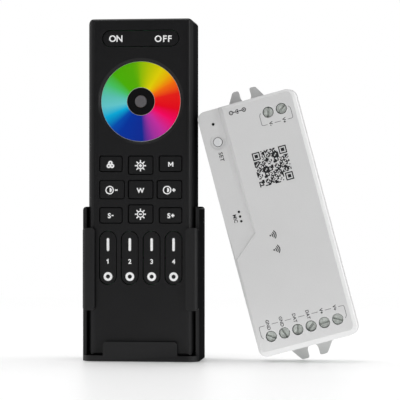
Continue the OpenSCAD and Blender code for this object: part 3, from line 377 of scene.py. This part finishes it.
def slot_materials():
    """One material for each slot of the record."""
    made = [
        remote_plastic(), holder_plastic(), key_plastic(), hub_plastic(), lens_plastic(),
        circuit_board(), sensor_film(), cell_jacket(), screw_steel(), receiver_plastic(),
        button_plastic(), light_guide(), wheel_print(),
        plated("dome_metal", (0.62, 0.62, 0.64), 0.28, 900),
        plated("spring_steel", (0.6, 0.6, 0.62), 0.26, 900),
        plated("can_metal", (0.62, 0.63, 0.64), 0.3, 350, stretch=(1, 1, 12)),
        plated("contact_brass", (0.68, 0.58, 0.34), 0.3, 600),
        plated("cage_steel", (0.55, 0.57, 0.55), 0.33, 500),
        dull_plastic("chip_epoxy", (0.012, 0.012, 0.014), 0.55, 700),
        dull_plastic("switch_plastic", (0.02, 0.02, 0.022), 0.5, 600),
        dull_plastic("jack_plastic", (0.015, 0.015, 0.016), 0.42, 300),
        dull_plastic("terminal_plastic", (0.022, 0.13, 0.05), 0.5, 200),
    ]
    return {s.name: s.material for s in made}


materials = slot_materials()
WHITE_INK = ink("white_ink", (240, 240, 240))
DARK_INK = ink("dark_ink", (24, 24, 26))
GREY_INK = ink("grey_ink", (108, 108, 110))
# Near-black for the discs that paint shade into the microphone holes
MIC_HOLE_SHADE = ink("mic_hole_shade", (5, 5, 6))

for name, item in nodes.items():
    item.data.materials.clear()
    item.data.materials.append(materials[slot_of[name]])

# How a skin's mesh is cleaned and its corners found: points closer than WELD metres are
# one, facets within LEVEL are one face, and a corner runs along the depth to within
# UPRIGHT millimetres and turns by more than CORNER_TURN
WELD = 1e-7
LEVEL = math.radians(0.4)
UPRIGHT = 0.01
CORNER_TURN = 0.6


def skin(node, width, angle=28, segments=2, corner=None, corner_r=0.0):
    """A copy of a CAD node with broken edges; corner picks the ones that get a larger radius."""
    mesh = nodes[node].data.copy()
    made = bpy.data.objects.new(node + "_skin", mesh)
    bpy.context.scene.collection.objects.link(made)
    form = bmesh.new()
    form.from_mesh(mesh)
    bmesh.ops.remove_doubles(form, verts=form.verts, dist=WELD)
    bmesh.ops.dissolve_limit(form, angle_limit=LEVEL, verts=form.verts, edges=form.edges,
                             use_dissolve_boundaries=False)
    form.normal_update()
    weight = form.edges.layers.float.new("bevel_weight_edge")
    for edge in form.edges:
        a, b = (v.co / MM for v in edge.verts)
        along_depth = math.hypot(a.x - b.x, a.z - b.z) < UPRIGHT
        if corner and along_depth and corner(a) and edge.calc_face_angle(0) > CORNER_TURN:
            edge[weight] = 1.0
    for face in form.faces:
        face.smooth = True
    form.to_mesh(mesh)
    form.free()
    mesh.set_sharp_from_angle(angle=math.radians(angle))
    if corner:
        rounding = made.modifiers.new("corners", "BEVEL")
        rounding.width = corner_r * MM
        rounding.segments = 3
        rounding.limit_method = "WEIGHT"
    bevel = made.modifiers.new("edges", "BEVEL")
    bevel.width = width * MM
    bevel.segments = segments
    bevel.limit_method = "ANGLE"
    bevel.angle_limit = math.radians(angle)
    bevel.use_clamp_overlap = True
    bevel.harden_normals = True
    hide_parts(node)
    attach(made, body_of[node])


def fork_tip(p):
    """At the outer end of a fork, past either end of the box."""
    past_end = 2.5
    along = (BOX_X - p.x) * math.sin(BOX_TILT) + (p.z - BOX_Z) * math.cos(BOX_TILT)
    return abs(along) > BOX_TOP + past_end


def foot_corner(p):
    """On the ground, at the holder's left or right end."""
    ground, outer_x = 0.1, 21
    return p.z < ground and abs(p.x) > outer_x


PUSH_KEYS = ["key_colours", "key_sun_plus", "key_mode", "key_dim_minus", "key_white",
             "key_dim_plus", "key_speed_minus", "key_sun_minus", "key_speed_plus"]
ZONE_KEYS = ["zone_key_%d" % i for i in range(1, 5)]
KEY_EDGE, SCREW_EDGE = 0.22, 0.26
EDGES = {"back_shell": 0.1, "battery_door": 0.12, "receiver_cover": 0.35, "set_button": 0.14,
         "colour_ring": 0.16, "wheel_hub": 0.06, "indicator_lens": 0.06, "dc_jack": 0.1}

for node in PUSH_KEYS + ZONE_KEYS + ["on_off_key"]:
    skin(node, KEY_EDGE)
skin("front_shell", 0.2, angle=20)
skin("receiver_base", 0.14, corner=fork_tip, corner_r=0.6)
skin("wall_holder", 0.32, segments=3, corner=foot_corner, corner_r=0.9)
for node, width in EDGES.items():
    skin(node, width)
for node in nodes:
    if "_screw_" in node:
        skin(node, SCREW_EDGE, segments=3)


# Flat marks are drawn as outlines in millimetres, right and up from their own centre
ROUND_STEP = 9


def round_points(r, start=0.0, end=360.0, x=0.0, y=0.0):
    """Points along an arc, about ROUND_STEP degrees apart."""
    count = max(2, round(abs(end - start) / ROUND_STEP))
    turns = [math.radians(start + (end - start) * i / count) for i in range(count + 1)]
    return [(x + r * math.cos(t), y + r * math.sin(t)) for t in turns]


def disc(r, x=0.0):
    return [round_points(r, x=x)[:-1]]


def half_disc(r):
    return [round_points(r, -90, 90)]


def pill(wide, high):
    """An upright bar with round ends."""
    r = wide / 2
    return [round_points(r, 0, 180, y=high / 2 - r) + round_points(r, 180, 360, y=r - high / 2)]


def bar(w, h, x=0.0, y=0.0, turn=0.0):
    c, s = math.cos(turn), math.sin(turn)
    corners = [(-w / 2, -h / 2), (w / 2, -h / 2), (w / 2, h / 2), (-w / 2, h / 2)]
    return [[(x + a * c - b * s, y + a * s + b * c) for a, b in corners]]


def quads(edges):
    """Four-sided pieces between one pair of points and the next."""
    return [[a[0], a[1], b[1], b[0]] for a, b in zip(edges, edges[1:])]


def arc_band(outer, inner, start=0.0, end=360.0, x=0.0):
    """A ring or part of one."""
    edges = zip(round_points(outer, start, end, x), round_points(inner, start, end, x))
    return quads(list(edges))


def eased(points, r, steps=4):
    """The same corners, each rounded by a short curve that starts r before it."""
    path = [Vector(p) for p in points]
    out = [path[0]]
    for a, b, c in zip(path, path[1:], path[2:]):
        start, end = b + (a - b).normalized() * r, b + (c - b).normalized() * r
        for t in (i / steps for i in range(steps + 1)):
            out.append(start * (1 - t) ** 2 + b * 2 * t * (1 - t) + end * t ** 2)
    return out + [path[-1]]


def stroke(points, thick):
    """A line of even thickness along points, mitred where it bends."""
    path = [Vector(p) for p in points]
    runs = [(b - a).normalized() for a, b in zip(path, path[1:])]
    edges = []
    for i, p in enumerate(path):
        before, after = runs[max(i - 1, 0)], runs[min(i, len(runs) - 1)]
        along = (before + after).normalized()
        across = Vector((-along.y, along.x)) * (thick / 2 / max(along.dot(after), 0.5))
        edges.append((tuple(p + across), tuple(p - across)))
    return quads(edges)


def turned(outlines, degrees):
    c, s = math.cos(math.radians(degrees)), math.sin(math.radians(degrees))
    return [[(a * c - b * s, a * s + b * c) for a, b in outline] for outline in outlines]


def moved(outlines, x):
    return [[(a + x, b) for a, b in outline] for outline in outlines]


# Height of the font's capitals at size 1
LETTER_HEIGHT = 0.73


def letters(text, cap, weight=0.0, spacing=1.0):
    """Plain capitals and digits of a given height, centred, as outlines."""
    curve = bpy.data.curves.new("letters", "FONT")
    curve.body = text
    curve.size = 1.0
    curve.offset = weight
    curve.space_character = spacing
    curve.resolution_u = 4
    maker = bpy.data.objects.new("letters", curve)
    bpy.context.scene.collection.objects.link(maker)
    bpy.context.view_layer.update()
    mesh = bpy.data.meshes.new_from_object(maker)
    bpy.data.objects.remove(maker)
    bpy.data.curves.remove(curve)
    points = [v.co for v in mesh.vertices]
    mid_x = (min(p.x for p in points) + max(p.x for p in points)) / 2
    grow = cap / LETTER_HEIGHT
    centred = [((p.x - mid_x) * grow, (p.y - LETTER_HEIGHT / 2) * grow) for p in points]
    found = [[centred[i] for i in face.vertices] for face in mesh.polygons]
    bpy.data.meshes.remove(mesh)
    return found


def letter_m(cap, wide, stem):
    """A bold M, which the font loses when it is made bolder."""
    w, h, deep = wide / 2, cap / 2, 1.55 * stem
    right = [(0, 0), (w - stem, h), (w, h), (w, -h), (w - stem, -h), (w - stem, h - deep),
             (0, -deep)]
    return [right + [(-x, y) for x, y in right[-2:0:-1]]]


def digit_one(cap, stem):
    """A bold 1 with a flag."""
    h, flag = cap / 2, stem * 1.3
    return [[(stem / 2, -h), (stem / 2, h), (0, h), (-flag, h - stem), (-flag, h - stem * 2),
             (-stem / 2, h - stem * 1.4), (-stem / 2, -h)]]


def plus(size, thick, x=0.0):
    side = (size - thick) / 2
    reach = (thick + side) / 2
    return bar(size, thick, x) + bar(thick, side, x, reach) + bar(thick, side, x, -reach)


def mark(name, outlines, to_place, body, material):
    """Prints outlines, as thin raised ink, on a surface that to_place describes."""
    form = bmesh.new()
    for outline in outlines:
        low = [form.verts.new(to_place(a, b, 0)) for a, b in outline]
        high = [form.verts.new(to_place(a, b, PRINT_T)) for a, b in outline]
        form.faces.new(high)
        count = len(outline)
        for i in range(count):
            j = (i + 1) % count
            form.faces.new((low[i], low[j], high[j], high[i]))
    bmesh.ops.recalc_face_normals(form, faces=form.faces)
    mesh = bpy.data.meshes.new(name)
    form.to_mesh(mesh)
    form.free()
    made = bpy.data.objects.new(name, mesh)
    made.data.materials.append(material)
    bpy.context.scene.collection.objects.link(made)
    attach(made, body)


def in_box(x, z, depth):
    """From the box's own axes to the frame, in metres."""
    c, s = math.cos(BOX_TILT), math.sin(BOX_TILT)
    return ((BOX_X + x * c - z * s) * MM, (BOX_Y + depth) * MM, (BOX_Z + x * s + z * c) * MM)


def strip_depth(z):
    """How far the lower strip lies behind the box's face."""
    return STRIP_DEEP - (BOX_TOP - z) * STRIP_FALL


# Each of these gives a function from a mark's right, up and out to metres in the frame
def on_face(x, z):
    return lambda a, b, out: ((x + a) * MM, (KEY_Y - PRINT_GAP - out) * MM, (z + b) * MM)


def on_cover(x, z):
    return lambda a, b, out: in_box(x + a, z + b, -PRINT_GAP - out)


def on_strip(x, z):
    return lambda a, b, out: in_box(x + a, z + b, strip_depth(z + b) - PRINT_GAP - out)


def in_hole(x, z):
    """Inside a hole of the strip, where a black disc paints the hole's shade."""
    return lambda a, b, out: in_box(x + a, z + b, strip_depth(z + b) + HOLE_SHADE_DEEP - out)


# Marks on the remote's keys: the sun's ring and rays, signs, letters and digits
SUN_RING, SUN_RAY, SUN_RAY_T = (1.3, 0.95), 0.8, 0.46
SIGN, SIGN_T = 1.25, 0.5
KEY_CAP, KEY_WEIGHT = 1.85, 0.035
DIGIT_CAP, STEM = 1.75, 0.42
ON_OFF_CAP = 2.45


def sun(sign):
    reach = SUN_RING[0] + SUN_RAY / 2
    rays = []
    for t in (math.pi * i / 4 for i in range(8)):
        rays += bar(SUN_RAY, SUN_RAY_T, reach * math.cos(t), reach * math.sin(t), t)
    return arc_band(*SUN_RING) + rays + sign


def dimmer(sign):
    """A ring with its right half filled, and a sign beside it."""
    return moved(arc_band(1.6, 1.2) + half_disc(0.85), -0.9) + moved(sign, 1.62)


def trefoil():
    """Three discs with small holes, each cut where it meets the others."""
    r, out, hole = 0.84, 0.72, 0.27
    parts = []
    for axis in (0, 120, 240):
        edges = []
        for t in (math.radians(10 * i) for i in range(37)):
            lean = abs(math.cos(t)) * math.tan(math.radians(30)) - math.sin(t)
            reach = min(r, out / lean) if lean > 0 else r
            edges.append([(d * math.cos(t), out + d * math.sin(t)) for d in (hole, reach)])
        parts += turned(quads(edges), axis)
    return parts


def speed(sign, x):
    """An S, moved to x, with a sign beside it."""
    return moved(letters("S", KEY_CAP, KEY_WEIGHT), x) + sign


# For each push key: its mark, and the mark's x and z
ICONS = {
    "key_colours": (trefoil(), -11.45, 73.2),
    "key_sun_plus": (sun(plus(SIGN, SIGN_T)), -0.1, 72.9),
    "key_mode": (letter_m(DIGIT_CAP, 1.95, STEM), 11.3, 73.4),
    "key_dim_minus": (dimmer(bar(1.0, SIGN_T)), -10.83, 63.8),
    "key_white": (letters("W", KEY_CAP, KEY_WEIGHT), -0.1, 63.7),
    "key_dim_plus": (dimmer(plus(SIGN, SIGN_T)), 10.83, 63.8),
    "key_speed_minus": (speed(bar(0.75, STEM, 0.62), -0.6), -11.25, 54.3),
    "key_sun_minus": (sun(bar(1.1, SIGN_T)), -0.1, 54.8),
    "key_speed_plus": (speed(plus(SIGN, SIGN_T, 0.75), -0.7), 11.3, 54.3),
}
for key, (outlines, x, z) in ICONS.items():
    mark("mark_" + key, outlines, on_face(x, z), key, WHITE_INK)
for name, outlines, x, z in (("on", letters("ON", ON_OFF_CAP, 0.02, 0.95), -9.42, 0.1),
                             ("off", letters("OFF", ON_OFF_CAP, 0.02, 1.17), 8.45, -0.1)):
    mark("mark_" + name, outlines, on_face(x, ON_OFF_Z + z), "on_off_key", WHITE_INK)
for i, key in enumerate(ZONE_KEYS):
    x = (i - 1.5) * ZONE_PITCH
    digit = digit_one(DIGIT_CAP, STEM) if i == 0 else letters(str(i + 1), DIGIT_CAP, 0.03)
    for part, outlines, z in (("bar", pill(0.95, 4.85), 43.45), ("digit", digit, 37.2),
                              ("ring", arc_band(1.65, 0.76), 31.5)):
        mark("mark_%s_%s" % (key, part), outlines, on_face(x, z), key, WHITE_INK)

# Marks on the box. The terminals' words stand on a line with gaps and hooked ends
OUTPUT_X = [(i - 2.5) * TERMINAL_PITCH for i in range(6)]
INPUT_X = OUTPUT_X[4:]
WORD_CAP, SET_CAP, MIC_CAP = 1.25, 1.5, 1.35
WORD_GAP = 1.35
LINE = 0.2
HOOK = 0.65
CORNER_R = 0.7


def box_mark(name, outlines, x, z, tone=DARK_INK, place=on_cover):
    mark(name, outlines, place(x, z), "receiver", tone)


def polarity():
    """Minus ring, the plug's sleeve and pin, and plus ring."""
    reach, r, thick, sign = 2.45, 0.82, 0.32, (0.62, 0.2)
    rings = arc_band(r, r - thick, x=-reach) + arc_band(r, r - thick, x=reach)
    signs = bar(*sign, -reach) + plus(*sign, reach)
    left = bar(reach - 2 * r, thick, -reach / 2 - 0.05)
    right = bar(reach - r - 0.4, thick, (reach - r + 0.4) / 2)
    return rings + signs + left + right + arc_band(r, 0.56, 60, 300) + disc(0.36)


def terminal_marks(prefix, places, words, line_z, end_z, low_x, high_x):
    """Words that read along the box, on a line with a hooked leg at each end."""
    for i, (x, word) in enumerate(zip(places, words)):
        weight = 0.03 if word[0] == "V" else 0.015
        outlines = turned(letters(word, WORD_CAP, weight), -90)
        box_mark("mark_%s_%d" % (prefix, i + 1), outlines, x, line_z)
    gaps = [(x - WORD_GAP, x + WORD_GAP) for x in places]
    away = math.copysign(HOOK, end_z - line_z)
    lines = []
    for x, inward, end in ((low_x, HOOK, gaps[0][0]), (high_x, -HOOK, gaps[-1][1])):
        corners = [(x + inward, end_z + away), (x, end_z), (x, line_z), (end, line_z)]
        lines += stroke(eased(corners, CORNER_R), LINE)
    for (_, a), (b, _) in zip(gaps, gaps[1:]):
        lines += bar(b - a, LINE, (a + b) / 2, line_z)
    box_mark("mark_%s_bracket" % prefix, lines, 0, 0, GREY_INK)


def block_square(side, count):
    """Plain blocks in a fixed irregular order, a nested square in three corners.

    It encodes nothing.
    """
    cell, eye = side / count, 7
    corners = [(0, count - eye), (count - eye, count - eye), (count - eye, 0)]

    def bare(row, col):
        return any(c - 1 <= col <= c + eye and r - 1 <= row <= r + eye for c, r in corners)

    def filled(row, col):
        mixed = (row * 37 + col * 53 + (row * col) % 11 * 29) % 9
        return col < count and mixed < 5 and not bare(row, col)

    def block(col, row, wide, high):
        x, y = col + wide / 2 - count / 2, row + high / 2 - count / 2
        return bar(cell * wide, cell * high, x * cell, y * cell)

    blocks = []
    for row in range(count):
        col = 0
        while col < count:
            run = 0
            while filled(row, col + run):
                run += 1
            if run:
                blocks += block(col, row, run, 1)
            col += run + 1
    for c, r in corners:
        blocks += block(c, r, eye, 1) + block(c, r + eye - 1, eye, 1)
        blocks += block(c, r + 1, 1, eye - 2) + block(c + eye - 1, r + 1, 1, eye - 2)
        blocks += block(c + 2, r + 2, 3, 3)
    return blocks


def waves():
    """A dot with three arcs, for a wireless link."""
    start = -1.2
    arcs = [arc_band(r, r - 0.38, -45, 45, x=start) for r in (1.0, 1.65, 2.3)]
    return sum(arcs, disc(0.32, x=start))


box_mark("mark_polarity", polarity(), -3.26, 43.68)
terminal_marks("output", OUTPUT_X, ["GND", "GND", "DAT", "DAT", "V+", "V+"],
               line_z=-35.6, end_z=-39.6, low_x=-16.25, high_x=16.2)
terminal_marks("input", INPUT_X, ["V-", "V+"],
               line_z=36.0, end_z=40.0, low_x=4.2, high_x=16.05)
box_mark("mark_set", turned(letters("SET", SET_CAP, 0.02, 1.1), -90), -13.5, 29.05,
         place=on_strip)
box_mark("mark_mic", turned(letters("MIC", MIC_CAP, 0.02), -90), -14.4, 5.45, place=on_strip)
# A black disc deep in each microphone hole is painted shade, darkening the hole
for i in range(3):
    z = MIC_Z + (i - 1) * MIC_PITCH
    box_mark("mic_gauze_%d" % (i + 1), disc(MIC_HOLE_R - 0.01), MIC_X, z, MIC_HOLE_SHADE, in_hole)
box_mark("mark_blocks", block_square(side=13.0, count=31), 4.2, 20.65)
for i, z in enumerate((-3.9, -9.4)):
    box_mark("mark_wireless_%d" % (i + 1), waves(), -2.15, z)

# Camera, in metres: level, a little to the right of straight in front
YAW = math.radians(6.5)
DISTANCE = 0.7
FOCAL_MM, SENSOR_MM = 169.5, 36
AIM = Vector((0.0223, FACE_Y * MM, 0.0601))
camera_data = bpy.data.cameras.new("camera")
camera_data.sensor_width = SENSOR_MM
camera_data.lens = FOCAL_MM
camera_data.clip_start = 0.01
camera = bpy.data.objects.new("camera", camera_data)
camera.location = AIM + Vector((math.sin(YAW), -math.cos(YAW), 0)) * DISTANCE
camera.rotation_euler = (math.radians(90), 0, YAW)
bpy.context.scene.collection.objects.link(camera)
bpy.context.scene.camera = camera

LAMP_AIM = Vector((0.03, 0, 0.06))


def area_light(name, place, power, wide, high, glossy=False):
    """A soft lamp that looks at the middle of the set; shiny surfaces show only a glossy one."""
    data = bpy.data.lights.new(name, "AREA")
    data.shape = "RECTANGLE"
    data.size = wide
    data.size_y = high
    data.energy = power
    lamp = bpy.data.objects.new(name, data)
    lamp.location = place
    lamp.rotation_euler = (LAMP_AIM - Vector(place)).to_track_quat("-Z", "Y").to_euler()
    lamp.visible_camera = False
    lamp.visible_glossy = glossy
    bpy.context.scene.collection.objects.link(lamp)


area_light("top", (-0.15, 0.0, 0.85), power=2.0, wide=0.5, high=0.5, glossy=True)
area_light("key", (-0.45, -0.62, 0.6), power=0.25, wide=0.12, high=0.12, glossy=True)
area_light("right", (0.8, 0.15, 0.3), power=2.8, wide=0.4, high=0.7)
area_light("front", (0.1, -0.9, 0.04), power=0.6, wide=1.0, high=0.08)
area_light("right_strip", (0.68, -0.5, 0.15), power=0.75, wide=0.1, high=0.3, glossy=True)
area_light("left", (-0.8, 0.1, 0.3), power=1.5, wide=0.4, high=0.7)


def studio_world(front, side):
    """White behind the set, for the camera, gloss and glass; as a light, dimmer in front."""
    world = bpy.data.worlds.new("studio")
    bpy.context.scene.world = world
    world.use_nodes = True
    tree = world.node_tree
    tree.nodes.clear()
    link = tree.links.new
    rays = add_node(tree, "ShaderNodeLightPath").outputs
    split = add_node(tree, "ShaderNodeSeparateXYZ")
    link(add_node(tree, "ShaderNodeTexCoord").outputs["Generated"], split.inputs["Vector"])
    depth = split.outputs["Y"]
    white = add_node(tree, "ShaderNodeBackground", Color=(1, 1, 1, 1), Strength=1.0)
    room = add_node(tree, "ShaderNodeBackground", Color=(1, 1, 1, 1))
    strength = add_ramp(tree, depth, front, side, from_low=-1.0, from_high=0.1)
    link(strength, room.inputs["Strength"])
    behind = add_ramp(tree, depth, 0.0, 1.0, from_low=-0.3, from_high=0.3)
    gloss = add_math(tree, "MULTIPLY", rays["Is Glossy Ray"], behind)
    seen = add_math(tree, "ADD", rays["Is Camera Ray"], rays["Is Transmission Ray"])
    mixer = add_node(tree, "ShaderNodeMixShader")
    link(add_math(tree, "ADD", seen, gloss, clamp=True), mixer.inputs["Fac"])
    link(room.outputs["Background"], mixer.inputs[1])
    link(white.outputs["Background"], mixer.inputs[2])
    link(mixer.outputs["Shader"], add_node(tree, "ShaderNodeOutputWorld").inputs["Surface"])


studio_world(front=0.1, side=0.92)

# The floor, in metres, and how much light it gives upward beyond its plain white: evenly,
# and far more in a band in front of the set, which ends short of the set itself
FLOOR_HALF, FLOOR_DROP = 3.0, 0.0002
GLOW, BAND_GLOW = 0.35, 4.4
BAND_RISE, BAND_FALL = (-0.045, -0.022), (-0.012, -0.002)
# How much of it is painted near the object, and how that gives way to white further out
PAINTED, FADE, FADE_SCALE = 0.82, (0.2, 0.8), (1.6, 1.6, 1.6)


def studio_floor():
    """Pale and slightly glossy near the object, and plain white further out."""
    form = bmesh.new()
    bmesh.ops.create_grid(form, x_segments=8, y_segments=8, size=FLOOR_HALF)
    mesh = bpy.data.meshes.new("floor")
    form.to_mesh(mesh)
    form.free()
    floor = bpy.data.objects.new("floor", mesh)
    floor.location = (0, 0, -FLOOR_DROP)
    bpy.context.scene.collection.objects.link(floor)
    paint = Shader("floor_white", (0.93, 0.93, 0.93), 0.4, specular=0.2)
    plain = paint.node("ShaderNodeEmission", Color=(1, 1, 1, 1))
    rays = paint.node("ShaderNodeLightPath")
    y = paint.axis("Y")
    rise = paint.ramp(y, 0, BAND_GLOW, *BAND_RISE)
    band = paint.math("MULTIPLY", rise, paint.ramp(y, 1, 0, *BAND_FALL))
    glow = paint.math("ADD", band, GLOW)
    lit = paint.math("MULTIPLY", rays.outputs["Is Diffuse Ray"], glow)
    paint.link(paint.math("ADD", lit, 1.0), plain.inputs["Strength"])
    far = paint.node("ShaderNodeTexGradient", gradient_type="SPHERICAL")
    spread = paint.node("ShaderNodeMapping", Scale=FADE_SCALE)
    paint.link(paint.place.outputs["Object"], spread.inputs["Vector"])
    paint.link(spread.outputs["Vector"], far.inputs["Vector"])
    blend = paint.node("ShaderNodeMixShader")
    paint.link(paint.ramp(far.outputs["Fac"], 0, PAINTED, *FADE), blend.inputs["Fac"])
    paint.link(plain.outputs["Emission"], blend.inputs[1])
    paint.link(paint.main.outputs["BSDF"], blend.inputs[2])
    paint.link(blend.outputs["Shader"], paint.tree.nodes["Material Output"].inputs["Surface"])
    floor.data.materials.append(paint.material)


studio_floor()
bpy.context.scene.view_settings.view_transform = "Standard"
